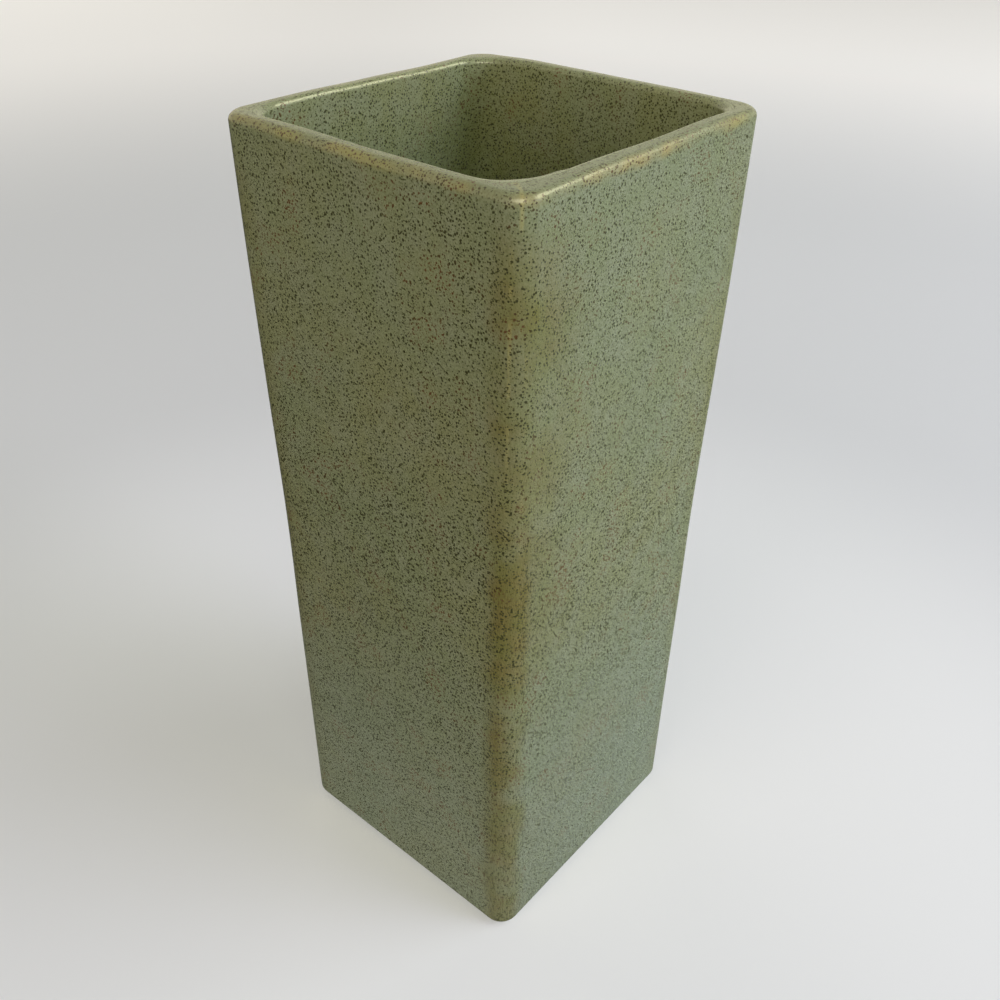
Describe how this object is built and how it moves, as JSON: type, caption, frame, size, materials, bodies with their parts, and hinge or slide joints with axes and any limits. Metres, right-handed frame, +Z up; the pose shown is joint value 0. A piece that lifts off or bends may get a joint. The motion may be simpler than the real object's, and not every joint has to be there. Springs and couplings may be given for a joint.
{
  "type": "ceramic vase",
  "caption": "Tall square vase, slightly wider at its open mouth, with rounded edges, a thick rim and a speckled grey-green glaze inside and out.",
  "frame": {"origin": "on the standing surface, under the middle of the vase", "axes": "+Z up, from the foot ring to the open mouth; +X and +Y square to two of the sides"},
  "size_m": [0.0994, 0.0994, 0.254],
  "materials": {
    "clay": "fired unglazed stoneware, dry and matt",
    "outer_glaze": "satin grey-green glaze with dark brown speckles, golden brown where it breaks over the edges",
    "lining_glaze": "satin grey-green glaze with dark brown speckles",
    "base_glaze": "thin satin grey-green glaze, lightly speckled"
  },
  "bodies": {
    "root": {"clay_body": "clay", "outer_glaze": "outer_glaze", "lining_glaze": "lining_glaze", "base_glaze": "base_glaze"}
  },
  "joints": []
}
